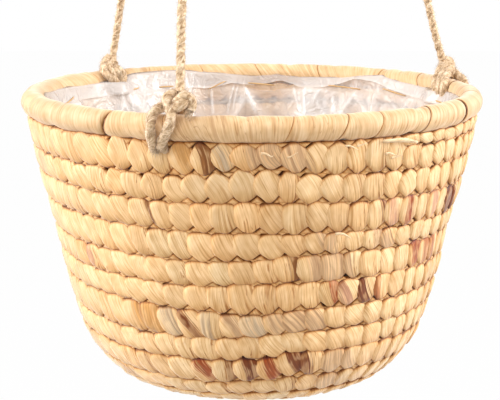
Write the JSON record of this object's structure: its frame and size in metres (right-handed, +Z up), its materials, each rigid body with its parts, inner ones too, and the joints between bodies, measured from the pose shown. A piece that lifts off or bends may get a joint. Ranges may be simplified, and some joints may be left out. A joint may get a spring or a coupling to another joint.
{
  "type": "hanging basket",
  "caption": "Round woven basket on three ropes: a plaited husk braid coiled into a tub with a wrapped rim and a film liner, hung from a loop to hold a pot plant or fruit",
  "frame": {"origin": "The seat of the hook, at the inner top of the hanging loop, with the basket hanging straight below it.", "axes": "+Z points up along the basket's own axis and its longest side. -Y is the side that the picture shows in front. +X is to its right there."},
  "size_m": [0.2987, 0.2987, 0.5937],
  "materials": {
    "husk": "dry plaited husk",
    "pale_husk": "dry smooth husk strips",
    "jute": "two-ply twisted jute",
    "thread": "dry raffia and twine",
    "film": "milky crumpled film"
  },
  "bodies": {
    "loop": {"hanging_loop": "jute"},
    "knot": {"top_knot": "jute"},
    "basket": {"rope_front": "jute", "rope_back_left": "jute", "rope_right": "jute", "rim_knot_front": "jute", "rim_knot_back_left": "jute", "rim_knot_right": "jute", "rim_hoop": "husk", "rim_wrap_01": "pale_husk", "rim_wrap_02": "pale_husk", "rim_wrap_03": "pale_husk", "rim_wrap_04": "pale_husk", "rim_wrap_05": "pale_husk", "rim_wrap_06": "pale_husk", "rim_wrap_07": "pale_husk", "rim_wrap_08": "pale_husk", "rim_wrap_09": "pale_husk", "rim_wrap_10": "pale_husk", "rim_wrap_11": "pale_husk", "rim_wrap_12": "pale_husk", "rim_wrap_13": "pale_husk", "rim_wrap_14": "pale_husk", "rim_wrap_15": "pale_husk", "rim_wrap_16": "pale_husk", "rim_wrap_17": "pale_husk", "rim_wrap_18": "pale_husk", "rim_wrap_19": "pale_husk", "coiled_braid": "husk", "sewing_thread": "thread", "plastic_liner": "film", "liner_stitch_01": "thread", "liner_stitch_02": "thread", "liner_stitch_03": "thread", "liner_stitch_04": "thread", "liner_stitch_05": "thread", "liner_stitch_06": "thread", "liner_stitch_07": "thread", "liner_stitch_08": "thread", "liner_stitch_09": "thread", "liner_stitch_10": "thread", "liner_stitch_11": "thread", "liner_stitch_12": "thread"}
  },
  "joints": [
    {"name": "swing_side", "type": "hinge", "parent": "loop", "child": "knot", "pos_m": [0, 0, -0.048], "axis": [0, 1, 0], "range_deg": [-25, 25]},
    {"name": "swing_front", "type": "hinge", "parent": "knot", "child": "basket", "pos_m": [0, 0, -0.048], "axis": [1, 0, 0], "range_deg": [-25, 25]}
  ]
}
